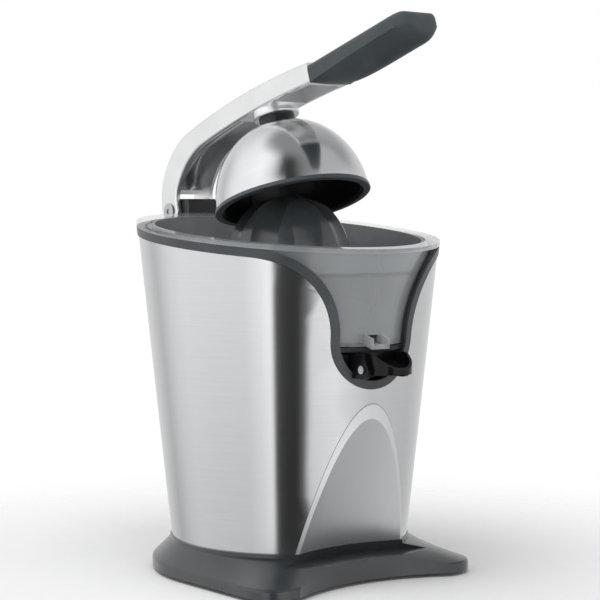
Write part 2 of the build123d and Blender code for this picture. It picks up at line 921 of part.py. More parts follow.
def gear_face(module, teeth):
    """Spur gear outline with involute flanks; one tooth is centred on +X."""
    pitch_r = module * teeth / 2
    root_r = pitch_r - root_depth * module
    tip_r = pitch_r + module
    flank = radians(pressure_angle)
    base_r = pitch_r * cos(flank)
    half_pitch = pi / (2 * teeth) - tooth_backlash / (4 * pitch_r)
    start_r = max(base_r, root_r)
    half = []
    for i in range(flank_steps + 1):
        r = start_r + (tip_r - start_r) * i / flank_steps
        turn = half_pitch + involute(flank) - involute(acos(min(1.0, base_r / r)))
        half.append((r, turn))
    if root_r < start_r:
        half.insert(0, (root_r, half[0][1]))
    points = []
    for tooth in range(teeth):
        middle = 2 * pi * tooth / teeth
        points += [(r * cos(middle - a), r * sin(middle - a)) for r, a in half]
        points += [(r * cos(middle + a), r * sin(middle + a)) for r, a in reversed(half)]
    return make_face(Polyline(*points, close=True))


def gear(module, teeth, low, width, angle):
    return Pos(0, 0, low) * Rot(0, 0, angle) * extrude(gear_face(module, teeth), amount=width)


def hexagon_rod(flats, low, high):
    return Pos(0, 0, low) * extrude(RegularPolygon(flats / 2, 6, major_radius=False), amount=high - low)


def make_output_gear():
    body = gear(gear_module_slow, output_teeth, slow_gear_z, slow_gear_w, idler_angle)
    inside_low = gearbox_floor_z + gearbox_floor + gear_end_gap
    inside_high = gearbox_top_z - gear_end_gap
    body += rod(hub_r, inside_low, inside_high)
    body += rod(journal_r, gearbox_floor_z, cover_top_z)
    return body - hexagon_rod(hex_flats + 2 * hex_slack, 0, big)


def make_idler_gear():
    pinion_z = fast_gear_z + fast_gear_w
    pinion_w = slow_gear_z + slow_gear_w - pinion_z
    pinion_turn = idler_angle + 180 + 180 / idler_pinion_teeth
    wheel_turn = motor_angle + 180 / idler_wheel_teeth
    pinion = gear(gear_module_slow, idler_pinion_teeth, pinion_z, pinion_w, pinion_turn)
    wheel = gear(gear_module_fast, idler_wheel_teeth, fast_gear_z, fast_gear_w, wheel_turn)
    inside_low = gearbox_floor_z + gearbox_floor + gear_end_gap
    inside_high = gearbox_top_z - gear_end_gap
    body = pinion + wheel + rod(idler_hub_r, inside_low, inside_high)
    body -= rod(axle_r + running_fit, 0, big)
    return Pos(idler_x, idler_y, 0) * body


def make_idler_axle():
    return rod(axle_r, gearbox_floor_z, cover_top_z, idler_x, idler_y)


def make_motor_pinion():
    body = gear(gear_module_fast, motor_pinion_teeth, fast_gear_z, fast_gear_w, motor_angle + 180)
    return Pos(motor_x, motor_y, 0) * (body - rod(motor_shaft_r + screw_slack, 0, big))


def make_motor_rotor():
    spindle = rod(motor_shaft_r, motor_floor_z + motor_wall + gear_end_gap, fast_gear_z + fast_gear_w)
    core = rod(rotor_r, motor_floor_z + rotor_end_gap, gearbox_floor_z - rotor_end_gap)
    return Pos(motor_x, motor_y, 0) * (spindle + core)


def make_motor_stator():
    low = motor_floor_z + rotor_end_gap
    high = gearbox_floor_z - rotor_end_gap
    outer = motor_r - motor_wall - screw_slack
    ring = tube(outer, rotor_r + stator_gap, low, high)
    return Pos(motor_x, motor_y, 0) * ring


def motor_screw_places():
    spots = []
    for side in (90, -90):
        dx, dy = polar(motor_screw_offset, motor_angle + side)
        spots.append((motor_x + dx, motor_y + dy))
    return spots


def make_motor_can():
    can = rod(motor_r, motor_floor_z, gearbox_floor_z)
    can = fillet(can.edges().group_by(Axis.Z)[0], motor_wall)
    inside_low = motor_floor_z + motor_wall
    inside_high = gearbox_floor_z - motor_wall
    can -= rod(motor_r - motor_wall, inside_low, inside_high)
    can += rod(motor_bearing_r, inside_low, inside_low + motor_bearing_h)
    can += rod(motor_bearing_r, inside_high - motor_bearing_h, inside_high)
    can -= rod(motor_shaft_r + running_fit, inside_low, big)
    can = Pos(motor_x, motor_y, 0) * can
    for x, y in motor_screw_places():
        can -= rod(screw_r + screw_slack, inside_high - cut_margin, big, x, y)
    return can


def make_motor_screws():
    seat_z = gearbox_floor_z + gearbox_floor / 2
    screws = []
    for x, y in motor_screw_places():
        up = screw(0, 0, 0, gearbox_floor / 2 + motor_wall, head_h=gearbox_floor / 2)
        screws.append(Pos(x, y, seat_z) * Rot(180, 0, 0) * up)
    return screws


def switch_post_places():
    post_x = (switch_x + switch_ear_x) / 4
    return [(post_x, 0.0), (-post_x, 0.0)]


def make_gearbox_housing():
    low = gearbox_floor_z
    tray = rod(gearbox_r, low, gearbox_top_z)
    tray -= rod(gearbox_r - gearbox_wall, low + gearbox_floor, big)
    for x, y in gearbox_screw_places():
        tray += rod(screw_boss_r, low, gearbox_top_z, x, y)
        tray -= rod(screw_r + screw_slack, 0, big, x, y)
    for x, y in switch_post_places():
        tray += rod(small_boss_r, switch_top_z, low, x, y)
        tray -= rod(small_screw_r + screw_slack, 0, low + gearbox_floor / 2, x, y)
    tray -= rod(journal_r + running_fit, 0, big)
    tray -= rod(axle_r + axle_slack, 0, big, idler_x, idler_y)
    tray -= rod(motor_hole_r, 0, big, motor_x, motor_y)
    for x, y in motor_screw_places():
        tray -= rod(screw_r + screw_slack, 0, big, x, y)
        tray -= rod(screw_head_r + screw_slack, low + gearbox_floor / 2, big, x, y)
    return tray


def make_gearbox_cover():
    lid = rod(gearbox_r, gearbox_top_z, cover_top_z)
    for x, y in gearbox_screw_places():
        lid -= rod(screw_r + screw_slack, 0, big, x, y)
    lid -= rod(journal_r + running_fit, 0, big)
    return lid - rod(axle_r + axle_slack, 0, big, idler_x, idler_y)


def make_gearbox_screws():
    length = cover_top_z + gearbox_screw_depth - gearbox_floor_z - cut_margin
    return [screw(x, y, gearbox_floor_z, length) for x, y in gearbox_screw_places()]


def make_drive_shaft():
    round_z = cover_top_z + press_travel + rim_gap
    shaft = hexagon_rod(hex_flats, shaft_bottom_z, round_z)
    shaft += rod(shaft_r, round_z, shaft_seat_z)
    shaft += rod(shaft_flange_r, shaft_flange_z, shaft_flange_z + shaft_flange_h)
    shaft += rod(shaft_seat_r, shaft_seat_z - shaft_seat_h, shaft_seat_z)
    return shaft + hexagon_rod(hex_flats, shaft_seat_z, shaft_top_z)


def make_spring_cap():
    high = shaft_flange_z - cap_gap
    return tube(cap_r, shaft_r + running_fit, high - cap_h, high)


def helix_point(turn, low, rise):
    angle = 2 * pi * turn
    return Vector(spring_r * cos(angle), spring_r * sin(angle), low + rise * turn)


def helix_direction(turn, rise):
    angle = 2 * pi * turn
    return Vector(-2 * pi * spring_r * sin(angle), 2 * pi * spring_r * cos(angle), rise).normalized()


def make_return_spring():
    low = cover_top_z + spring_wire_r + screw_slack
    high = shaft_flange_z - cap_gap - cap_h - spring_wire_r - screw_slack
    rise = (high - low) / spring_turns
    arcs = []
    quarters = 4 * spring_turns
    for i in range(quarters):
        start = helix_point(i / 4, low, rise)
        end = helix_point((i + 1) / 4, low, rise)
        start_way = helix_direction(i / 4, rise)
        end_way = helix_direction((i + 1) / 4, rise)
        chord = end - start
        both = start_way + end_way
        a = 2 * (1 - start_way.dot(end_way))
        b = 2 * chord.dot(both)
        c = -chord.dot(chord)
        reach = (-b + sqrt(b * b - 4 * a * c)) / (2 * a)
        middle = (start + start_way * reach + end - end_way * reach) * 0.5
        first = TangentArc(start, middle, tangent=start_way)
        arcs.append(first)
        arcs.append(TangentArc(middle, end, tangent=first % 1))
    path = Wire(arcs)
    section = Plane(path @ 0, z_dir=path % 0) * Circle(spring_wire_r)
    print("return spring: turn to turn gap", round(rise - 2 * spring_wire_r, 2), "mm")
    return sweep(section, path)


def make_upper_bush():
    low = tube_top_z - bush_length
    return tube(tube_bore_r - screw_slack, shaft_r + running_fit, low, tube_top_z)


def make_shaft_seal():
    outer = tube_bore_r + tube_wall
    low = tube_top_z + screw_slack
    return tube(outer, shaft_r + seal_slack, low, low + seal_h)


def make_start_switch():
    half_x = switch_x / 2
    half_y = switch_y / 2
    body = block(-half_x, half_x, -half_y, half_y, switch_top_z - switch_h, switch_top_z)
    body = fillet(body.edges().filter_by(Axis.Z), switch_round)
    ear_x = switch_ear_x / 2
    ear_y = switch_ear_y / 2
    body += block(-ear_x, ear_x, -ear_y, ear_y, switch_top_z - switch_ear_h, switch_top_z)
    bore_z = switch_top_z - plunger_depth - press_travel - cut_margin
    body -= rod(plunger_r + running_fit, bore_z, big)
    for x, y in switch_post_places():
        body -= rod(small_screw_r + screw_slack, 0, big, x, y)
    return body


def make_switch_screws():
    seat_z = switch_top_z - switch_ear_h
    length = switch_ear_h + switch_drop
    sizes = (small_screw_r, small_screw_head_r, small_screw_head_h)
    return [screw(x, y, seat_z, length, *sizes) for x, y in switch_post_places()]


def make_switch_plunger():
    button = rod(plunger_r, switch_top_z - plunger_depth, shaft_bottom_z - plunger_gap)
    return fillet(button.edges().group_by(Axis.Z)[-1], plunger_round)


# Juicing cone

def cone_profile_r(z):
    return cone_r - cone_arc_r + sqrt(cone_arc_r**2 - (z - cone_bottom_z) ** 2)


def make_juicing_cone():
    centre_x = cone_r - cone_arc_r
    tip_z = cone_bottom_z + sqrt(cone_arc_r**2 - (cone_tip_r - centre_x) ** 2)
    middle_z = (cone_bottom_z + tip_z) / 2
    side = ThreePointArc(
        (cone_r, 0, cone_bottom_z), (cone_profile_r(middle_z), 0, middle_z), (cone_tip_r, 0, tip_z)
    )
    rest = Polyline(
        (cone_tip_r, 0, tip_z), (0, 0, tip_z), (0, 0, cone_bottom_z), (cone_r, 0, cone_bottom_z)
    )
    body = revolve(make_face(Curve() + [side, rest]), Axis.Z)
    cutter = Torus(cone_arc_r + flute_r - flute_depth, flute_r)
    for i in range(flute_count):
        flute = Pos(centre_x, 0, cone_bottom_z) * Rot(90, 0, 0) * cutter
        body -= Rot(0, 0, i * 360 / flute_count + flute_turn) * flute
    cavity_z = cone_bottom_z + cone_cavity_h
    body -= turned(
        (cone_hub_r, cone_bottom_z - cut_margin),
        (cone_cavity_r, cone_bottom_z - cut_margin),
        (cone_cavity_top_r, cavity_z),
        (cone_hub_r, cavity_z),
    )
    return body - hexagon_rod(hex_flats + 2 * hex_slack, 0, cone_bottom_z + cone_socket_depth)


# Hinge, lever and dome

def bracket_side():
    """Side outline of the hinge bracket: a spine up the back of the body that ends in an eye."""
    eye_back = pivot_y + washer_r
    knee_z = pivot_z - bracket_knee_drop
    foot_y = body_r(bracket_bottom_z) - bracket_sink
    front_y = pivot_y - bracket_front
    head_z = pivot_z + washer_r
    slope = FilletPolyline(
        (foot_y + bracket_sink + bracket_foot_depth, bracket_bottom_z),
        (eye_back, knee_z),
        (eye_back, pivot_z),
        radius=bracket_knee_round,
    )
    eye_turn = pi / 4
    eye = ThreePointArc(
        (eye_back, pivot_z),
        (pivot_y + washer_r * cos(eye_turn), pivot_z + washer_r * sin(eye_turn)),
        (pivot_y, head_z),
    )
    front = Polyline(
        (pivot_y, head_z),
        (front_y + bracket_chamfer, head_z),
        (front_y, head_z - bracket_chamfer),
        (front_y, rim_z + bracket_rim_lift),
        (foot_y, rim_z),
        (foot_y, bracket_bottom_z),
        (foot_y + bracket_sink + bracket_foot_depth, bracket_bottom_z),
    )
    return make_face(Curve() + [slope, eye, front])


def make_hinge_bracket():
    spine = extrude(Plane.YZ * bracket_side(), amount=bracket_foot_half, both=True)
    shoulder_z = pivot_z - arm_eye_r - bracket_swing_gap
    for side in (1, -1):
        low_x, high_x = sorted((side * bracket_half, side * big))
        spine -= block(low_x, high_x, 0, big, shoulder_z, big)
    spine -= frustum(-skin_gap)
    spine -= frustum(-trim_proud - rim_gap) & above(rim_z - trim_band)
    spine -= rod_x(pin_r + screw_slack, -big, big, pivot_y, pivot_z)
    return spine - bracket_screw_holes()


def make_bracket_screws():
    screws = []
    for place in bracket_screw_seats():
        screws.append(Pos(*place) * Rot(-90, 0, 0) * screw(0, 0, 0, bracket_screw_length))
    return screws


def make_hinge_pin():
    out_x = arm_half + pin_head_gap
    socket_x = out_x + pin_head_h - pin_socket_depth
    pin = rod_x(pin_r, -out_x, out_x, pivot_y, pivot_z)
    for low in (-out_x - pin_head_h, out_x):
        head = rod_x(pin_head_r, low, low + pin_head_h, pivot_y, pivot_z)
        outside = head.edges().group_by(Axis.X)[0 if low < 0 else -1]
        pin += fillet(outside, pin_head_round)
    socket = extrude(Plane.YZ * Pos(pivot_y, pivot_z) * RegularPolygon(pin_socket_r, 6), amount=big, both=True)
    return pin - (socket - block(-socket_x, socket_x, 0, big, 0, big))


def make_friction_washers():
    washers = []
    for side in (1, -1):
        near = side * (bracket_half + screw_slack)
        low_x, high_x = sorted((near, near + side * washer_wall))
        ring = rod_x(washer_r, low_x, high_x, pivot_y, pivot_z)
        washers.append(ring - rod_x(pin_r + running_fit, low_x, high_x, pivot_y, pivot_z))
    return washers


def arm_top_line(depth):
    """Tangent arcs along the arm's back and top, depth below its surface, past the grip's start."""
    back = JernArc((pivot_y + arm_eye_r - depth, pivot_z), (0, 1), arm_back_r - depth, arm_back_turn)
    crown = JernArc(back @ 1, back % 1, arm_crown_r - depth, arm_crown_turn)
    top = JernArc(crown @ 1, crown % 1, arm_top_r - depth, arm_top_turn)
    return [back, crown, top]


def arm_under_line():
    """Tangent arcs along the arm's front and underside, past the grip's start."""
    heel = JernArc((pivot_y - arm_eye_r, pivot_z), (0, 1), arm_heel_r, arm_heel_turn)
    bend = JernArc(heel @ 1, heel % 1, arm_bend_r, arm_bend_turn)
    under = JernArc(bend @ 1, bend % 1, arm_under_r, arm_under_turn)
    return [heel, bend, under]


def arm_side():
    """Side outline of the lever arm, from its hinge eye to a little past the grip's start."""
    top = arm_top_line(0)
    under = arm_under_line()
    end = Line(top[-1] @ 1, under[-1] @ 1)
    eye = ThreePointArc(under[0] @ 0, (pivot_y, pivot_z - arm_eye_r), top[0] @ 0)
    return make_face(Curve() + top + under + [end, eye])


def arm_channel(depth, half, low_y, high_y):
    """Open channel under the arm between two places, depth below its top and half wide to each side."""
    top = arm_top_line(depth)
    low_z = pivot_z - 2 * arm_eye_r
    start = top[0] @ 0
    end = top[-1] @ 1
    rest = Polyline(end, (end.X, low_z), (start.X, low_z), start)
    channel = extrude(Plane.YZ * make_face(Curve() + top + [rest]), amount=half, both=True)
    return channel & block(-big, big, low_y, high_y, 0, big)


def arm_ribs():
    """One rib along the channel's roof, which forks towards the hinge."""
    inner = arm_half - arm_cheek
    layer = arm_channel(arm_roof / 2, inner, arm_channel_end_y, big)
    layer -= arm_channel(arm_roof + arm_rib_h, arm_half, 0, big)
    fork_z = pivot_z + arm_fork_rise
    foot_z = pivot_z + arm_slot_r
    half = arm_rib_w / 2
    ribs = layer & block(-half, half, 0, big, fork_z, big)
    for side in (1, -1):
        foot_x = side * arm_fork_half
        leg = Polyline((foot_x - half, foot_z), (foot_x + half, foot_z), (half, fork_z), (-half, fork_z), close=True)
        ribs += layer & extrude(Plane.XZ * make_face(leg), amount=big, both=True)
    return ribs


def make_lever_arm():
    arm = extrude(Plane.YZ * arm_side(), amount=arm_half, both=True)
    rims = arm.edges().filter_by(lambda e: abs(abs(e.center().X) - arm_half) < pick_distance)
    arm = fillet(rims.filter_by(GeomType.CIRCLE), arm_edge_round)
    arm -= block(-big, big, -big, grip_start_y, 0, big)
    inner = arm_half - arm_cheek
    arm -= arm_channel(arm_roof, inner, arm_channel_end_y, big)
    arm -= arm_channel(arm_roof, inner, grip_start_y + arm_end_wall, arm_front_start_y)
    arm += arm_ribs()
    arm -= rod_x(arm_slot_r, -inner, inner, pivot_y, pivot_z)
    tang_y = grip_start_y - arm_tang_length
    tang_top_z = arm_tang_z + arm_tang_h
    arm += block(-arm_tang_half, arm_tang_half, tang_y, grip_start_y, arm_tang_z, tang_top_z)
    arm -= rod(dome_screw_r + screw_slack, 0, dome_screw_top_z)
    return arm - rod_x(pin_r + running_fit, -big, big, pivot_y, pivot_z)


def grip_section(share):
    """Rounded grip section: flat sides over an underside that bows more away from the arm."""
    y = grip_start_y - grip_gap - share * grip_length
    early = (1 - share) ** 3
    half = grip_half
    r = grip_corner_r
    top_z = grip_top_z - share * grip_fall
    low_z = top_z - grip_side_h - (grip_start_h - grip_side_h) * early
    belly_z = low_z - grip_belly + (grip_belly - grip_start_belly) * early
    corner = r * (1 - cos(pi / 4))
    lines = [
        Line((half, low_z), (half, top_z - r)),
        ThreePointArc((half, top_z - r), (half - corner, top_z - corner), (half - r, top_z)),
        Line((half - r, top_z), (r - half, top_z)),
        ThreePointArc((r - half, top_z), (corner - half, top_z - corner), (-half, top_z - r)),
        Line((-half, top_z - r), (-half, low_z)),
        ThreePointArc((-half, low_z), (0, belly_z), (half, low_z)),
    ]
    return Plane(origin=(0, y, 0), x_dir=(1, 0, 0), z_dir=(0, -1, 0)) * make_face(Curve() + lines)


def grip_end_plan():
    """Upright prism with the round corners of the grip's end, seen from above."""
    end_y = grip_start_y - grip_gap - grip_length
    plan = Pos(0, (end_y + grip_start_y) / 2) * Rectangle(2 * grip_half, grip_start_y - end_y)
    plan = fillet(plan.vertices().group_by(Axis.Y)[0], grip_end_r)
    return extrude(plan, amount=big)


def grip_end_side():
    """Level prism with the round corners of the grip's end, seen from the side."""
    end_y = grip_start_y - grip_gap - grip_length
    top_z = grip_top_z - grip_fall
    low_z = top_z - grip_side_h - grip_belly
    side = make_face(Polyline(
        (grip_start_y, grip_top_z),
        (end_y, top_z),
        (end_y, low_z),
        (grip_start_y, low_z),
        close=True,
    ))
    side = fillet(side.vertices().group_by(Axis.X)[0], grip_end_round)
    return extrude(Plane.YZ * side, amount=grip_half, both=True)


def make_handle_grip():
    grip = loft([grip_section(i / (grip_stations - 1)) for i in range(grip_stations)])
    grip = grip & grip_end_plan() & grip_end_side()
    half = arm_tang_half + grip_gap
    end_y = grip_start_y - arm_tang_length - grip_gap
    top_z = arm_tang_z + arm_tang_h + grip_gap
    return grip - block(-half, half, end_y, big, arm_tang_z - grip_gap, top_z)


def dome_arc(r):
    """Quarter arc of the dome's profile, from its equator to its top."""
    c = dome_centre_z
    return ThreePointArc((r, 0, c), (r * cos(pi / 4), 0, c + r * sin(pi / 4)), (0, 0, c + r))


def make_press_dome():
    inner = dome_r - dome_wall
    c = dome_centre_z
    skirt = Polyline(
        (inner, 0, c),
        (dome_edge_r - dome_wall, 0, dome_edge_z),
        (dome_edge_r, 0, dome_edge_z),
        (dome_r, 0, c),
    )
    top = Line((0, 0, c + dome_r), (0, 0, c + inner))
    shell = revolve(make_face(Curve() + [dome_arc(dome_r), top, dome_arc(inner), skirt]), Axis.Z)
    return shell - rod(dome_screw_r + screw_slack, 0, big)


def make_dome_rim():
    inner = dome_edge_r - dome_wall - ring_inner_lip
    seat_z = dome_edge_z - screw_slack
    lip_r = dome_edge_r + ring_gap
    lip_top_z = dome_edge_z + ring_lip_h
    return turned(
        (inner, ring_bottom_z),
        (ring_r - ring_bevel, ring_bottom_z),
        (ring_r, ring_bottom_z + ring_bevel),
        (lip_r + ring_lip_w, lip_top_z),
        (lip_r, lip_top_z),
        (lip_r, seat_z),
        (inner, seat_z),
    )


def make_dome_liner():
    outer = dome_r - dome_wall - liner_gap
    inner = outer - liner_wall
    c = dome_centre_z
    lines = [
        dome_arc(outer),
        Line((0, 0, c + outer), (0, 0, c + inner)),
        dome_arc(inner),
        Polyline((inner, 0, c), (inner, 0, dome_edge_z), (outer, 0, dome_edge_z), (outer, 0, c)),
    ]
    shell = revolve(make_face(Curve() + lines), Axis.Z)
    rib_ball = Pos(0, 0, c) * (Sphere(inner + liner_wall / 2) - Sphere(inner - liner_rib_h))
    for i in range(liner_ribs // 2):
        fin = block(-outer, outer, -liner_rib_w / 2, liner_rib_w / 2, c, c + outer - liner_rib_drop)
        shell += (Rot(0, 0, i * 360 / liner_ribs) * fin) & rib_ball
    return shell - rod(dome_screw_head_r + grip_gap, 0, big)


def make_dome_neck():
    stub = rod(neck_r, dome_centre_z + dome_r - neck_r, collar_knob_z)
    stub -= Pos(0, 0, dome_centre_z) * Sphere(dome_r + screw_slack)
    return stub - rod(dome_screw_r + screw_slack, 0, big)


def make_dome_collar():
    knob = rod(collar_knob_r, collar_knob_z, collar_knob_z + 2 * collar_knob_h)
    knob = fillet(knob.edges().group_by(Axis.Z)[0], collar_knob_round)
    knob -= extrude(Plane.YZ * arm_side(), amount=arm_half * 2, both=True)
    return knob.solids().sort_by(Axis.Z)[0] - rod(dome_screw_r + screw_slack, 0, big)


def make_dome_screw():
    inner = dome_r - dome_wall
    seat_z = dome_centre_z + sqrt(inner**2 - dome_screw_head_r**2) - screw_slack
    length = dome_screw_top_z - cut_margin - seat_z
    return screw(0, 0, seat_z, length, dome_screw_r, dome_screw_head_r, dome_screw_head_h)


def group(solids):
    return Compound(children=[s if isinstance(s, Solid) else s.solids()[0] for s in solids])


def main():
    pieces = {
        "base_housing": make_base_housing(),
        "bottom_plate": make_bottom_plate(),
        "bottom_screws": group(make_bottom_screws()),
        "body_screws": group(make_body_screws()),
        "rubber_feet": group(make_rubber_feet()),
        "cord_inlet": make_cord_inlet(),
        "steel_jacket": make_steel_jacket(),
        "top_trim": make_top_trim(),
        "recess_panel": make_recess_panel(),
        "body_core": make_body_core(),
        "juice_container": make_juice_container(),
        "strainer": make_strainer(),
        "spout_holder": make_spout_holder(),
        "spout_pin": make_spout_pin(),
        "drip_spout": make_drip_spout(),
        "output_gear": make_output_gear(),
        "idler_gear": make_idler_gear(),
        "idler_axle": make_idler_axle(),
        "motor_pinion": make_motor_pinion(),
        "motor_rotor": make_motor_rotor(),
        "motor_stator": make_motor_stator(),
        "motor_can": make_motor_can(),
        "motor_screws": group(make_motor_screws()),
        "gearbox_housing": make_gearbox_housing(),
        "gearbox_cover": make_gearbox_cover(),
        "gearbox_screws": group(make_gearbox_screws()),
        "drive_shaft": make_drive_shaft(),
        "spring_cap": make_spring_cap(),
        "return_spring": make_return_spring(),
        "upper_bush": make_upper_bush(),
        "shaft_seal": make_shaft_seal(),
        "start_switch": make_start_switch(),
        "switch_screws": group(make_switch_screws()),
        "switch_plunger": make_switch_plunger(),
        "juicing_cone": make_juicing_cone(),
        "hinge_bracket": make_hinge_bracket(),
        "bracket_screws": group(make_bracket_screws()),
        "hinge_pin": make_hinge_pin(),
        "friction_washers": group(make_friction_washers()),
    }
    lever_pieces = {
        "lever_arm": make_lever_arm(),
        "handle_grip": make_handle_grip(),
        "press_dome": make_press_dome(),
        "dome_rim": make_dome_rim(),
        "dome_liner": make_dome_liner(),
        "dome_neck": make_dome_neck(),
        "dome_collar": make_dome_collar(),
        "dome_screw": make_dome_screw(),
    }
    for name, shape in lever_pieces.items():
        pieces[name] = lever_opened(shape)
    os.makedirs("parts", exist_ok=True)
    for name, shape in pieces.items():
        export_step(shape, f"parts/{name}.step")


main()
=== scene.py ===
import math

import bmesh
import bpy
from mathutils import Matrix, Vector


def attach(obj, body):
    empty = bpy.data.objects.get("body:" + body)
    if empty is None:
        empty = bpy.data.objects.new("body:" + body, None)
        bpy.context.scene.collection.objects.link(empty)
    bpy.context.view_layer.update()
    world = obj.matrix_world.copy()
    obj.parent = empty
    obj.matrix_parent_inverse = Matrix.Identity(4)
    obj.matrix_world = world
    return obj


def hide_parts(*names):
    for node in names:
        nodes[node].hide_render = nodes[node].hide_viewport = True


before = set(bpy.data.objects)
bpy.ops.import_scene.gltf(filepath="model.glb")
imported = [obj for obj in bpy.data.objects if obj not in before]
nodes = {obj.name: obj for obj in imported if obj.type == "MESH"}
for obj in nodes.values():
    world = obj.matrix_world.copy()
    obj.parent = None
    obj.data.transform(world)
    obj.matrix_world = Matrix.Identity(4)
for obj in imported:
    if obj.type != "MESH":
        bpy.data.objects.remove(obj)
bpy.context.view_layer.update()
scene = bpy.context.scene

# Lever, in metres as the solids have it
lever_pivot = (0.0, 0.124, 0.236)
lever_open = math.radians(18.2)
sharp_edge = math.radians(38)

# Dome, with the lever closed
dome_edge_z = 0.2031
dome_edge_r = 0.0511
dome_height = 0.0548
dome_wall = 0.001
dome_hole_r = 0.0032
dome_curve_steps = 32
dome_turn_steps = 128
dome_brush_z = 0.2094
dome_brush_r = 0.05

# Grip, with the lever closed
grip_start_y = -0.0621
grip_length = 0.0985
grip_half = 0.0164
grip_top_z = 0.2737
grip_fall = 0.0033
grip_side_h = 0.0092
grip_start_drop = 0.0031
grip_belly = 0.0104
grip_belly_loss = 0.0096
grip_corner_r = 0.004
grip_end_r = 0.014
grip_end_rise = 0.008
grip_end_share = 0.16
grip_plain_rings = 12
grip_end_rings = 24
grip_belly_steps = 12
grip_corner_steps = 8

# Body and container
body_brush_r = 0.09
container_rim_z = 0.224
container_wall_z = 0.216
lamination = 0.0005

# Studio: the camera's bearing, the floor, and the light round the object as share of a turn and level,
# with the camera at half a turn
studio_bearing = math.radians(36)
floor_r = 2.2
floor_drop = 0.0003
floor_fade_start = 0.13
floor_fade_end = 0.42
wall_light = [
    (0.0, 0.62), (0.094, 0.62), (0.145, 0.52), (0.20, 0.76), (0.243, 0.86), (0.398, 0.90), (0.437, 1.08),
    (0.460, 1.30), (0.469, 0.08), (0.493, 0.05), (0.520, 0.04), (0.535, 0.15), (0.552, 0.98), (0.607, 1.10),
    (0.70, 0.72), (0.85, 0.55), (1.0, 0.62),
]
high_light = [
    (0.0, 0.55), (0.20, 1.0), (0.335, 1.18), (0.388, 0.92), (0.418, 0.52), (0.445, 0.10), (0.475, 0.04),
    (0.505, 0.06), (0.535, 0.16), (0.56, 0.22), (0.617, 0.30), (0.645, 0.50), (0.78, 0.50), (0.83, 0.34),
    (1.0, 0.55),
]
low_light = 0.58
wall_gain = 0.62
overhead_light = 0.30
panel_place = Vector((-0.3, -0.2, 1.3))
panel_target = Vector((0.0, 0.0, 0.2))
panel_size = 0.9
panel_power = 9.0

# The photograph's camera
camera_place = Vector((-0.66836, -0.91991, 0.23742))
camera_target = Vector((0.00582, -0.00423, 0.17723))
camera_lens = 102.5
camera_sensor = 36.0
camera_near = 0.05
camera_far = 30.0


class Value:
    """An output socket, so that shader maths reads as plain expressions."""

    def __init__(self, tree, socket):
        self.tree = tree
        self.socket = socket

    def other(self, output):
        return Value(self.tree, self.socket.node.outputs[output])

    def __add__(self, other):
        return self.tree.math("ADD", self, other)

    def __radd__(self, other):
        return self.tree.math("ADD", other, self)

    def __sub__(self, other):
        return self.tree.math("SUBTRACT", self, other)

    def __rsub__(self, other):
        return self.tree.math("SUBTRACT", other, self)

    def __mul__(self, other):
        return self.tree.math("MULTIPLY", self, other)

    def __rmul__(self, other):
        return self.tree.math("MULTIPLY", other, self)

    def __truediv__(self, other):
        return self.tree.math("DIVIDE", self, other)


class Tree:
    """A node tree and the one way to add nodes to it."""

    def __init__(self, node_tree):
        self.node_tree = node_tree

    def add(self, kind, settings=None, sockets=None, output=0):
        node = self.node_tree.nodes.new("ShaderNode" + kind)
        for name, value in (settings or {}).items():
            if name == "stops":
                self.set_stops(node.color_ramp, value)
            else:
                setattr(node, name, value)
        for key, value in (sockets or {}).items():
            self.feed(node.inputs[key], value)
        return Value(self, node.outputs[output])

    def set_stops(self, ramp, stops):
        while len(ramp.elements) < len(stops):
            ramp.elements.new(0.5)
        for element, (position, level) in zip(ramp.elements, stops):
            element.position = position
            element.color = (level, level, level, 1.0)

    def feed(self, socket, value):
        if isinstance(value, Value):
            self.node_tree.links.new(value.socket, socket)
        else:
            socket.default_value = value

    def math(self, operation, first, second=0.0):
        return self.add("Math", {"operation": operation}, {0: first, 1: second})

    def blend(self, factor, first, second):
        return self.add("Mix", {"data_type": "RGBA"}, {0: factor, 6: first, 7: second}, 2)

    def vector(self, x, y, z):
        return self.add("CombineXYZ", None, {0: x, 1: y, 2: z})

    def split(self, point):
        x = self.add("SeparateXYZ", None, {0: point})
        return x, x.other("Y"), x.other("Z")

    def noise(self, point, scale, detail=2.0, roughness=0.5):
        sockets = {"Vector": point, "Scale": scale, "Detail": detail, "Roughness": roughness}
        return self.add("TexNoise", None, sockets)

    def ease(self, value, low, high):
        """0 at low, 1 at high, smooth between and steady beyond. High may be the lesser."""
        sockets = {"Value": value, "From Min": low, "From Max": high}
        return self.add("MapRange", {"interpolation_type": "SMOOTHSTEP"}, sockets)

    def ramp(self, value, stops):
        return self.add("ValToRGB", {"stops": stops}, {0: value})


class Finish(Tree):
    """One procedural material, built around a Principled shader."""

    def __init__(self, name, **sockets):
        self.material = bpy.data.materials.new(name)
        self.material.use_nodes = True
        super().__init__(self.material.node_tree)
        self.shader = self.node_tree.nodes["Principled BSDF"]
        self.set(**sockets)

    def set(self, **sockets):
        for name, value in sockets.items():
            self.feed(self.shader.inputs[name.replace("_", " ").title().replace("Ior", "IOR")], value)

    def point(self):
        return self.add("TexCoord", None, None, "Object")

    def bump(self, height, strength, distance):
        sockets = {"Strength": strength, "Distance": distance, "Height": height}
        self.set(normal=self.add("Bump", None, sockets))

    def wear(self, *names):
        for name in names:
            mesh = nodes[name].data
            mesh.materials.clear()
            mesh.materials.append(self.material)


def tint(red, green, blue):
    return (red, green, blue, 1.0)


def grey(level):
    return tint(level, level, level)


def lever_closed_point(finish):
    """Object coordinates turned back to the closed lever, where the dome's axis is upright."""
    sockets = {"Vector": finish.point(), "Center": lever_pivot, "Angle": lever_open}
    return finish.add("VectorRotate", {"rotation_type": "X_AXIS"}, sockets)


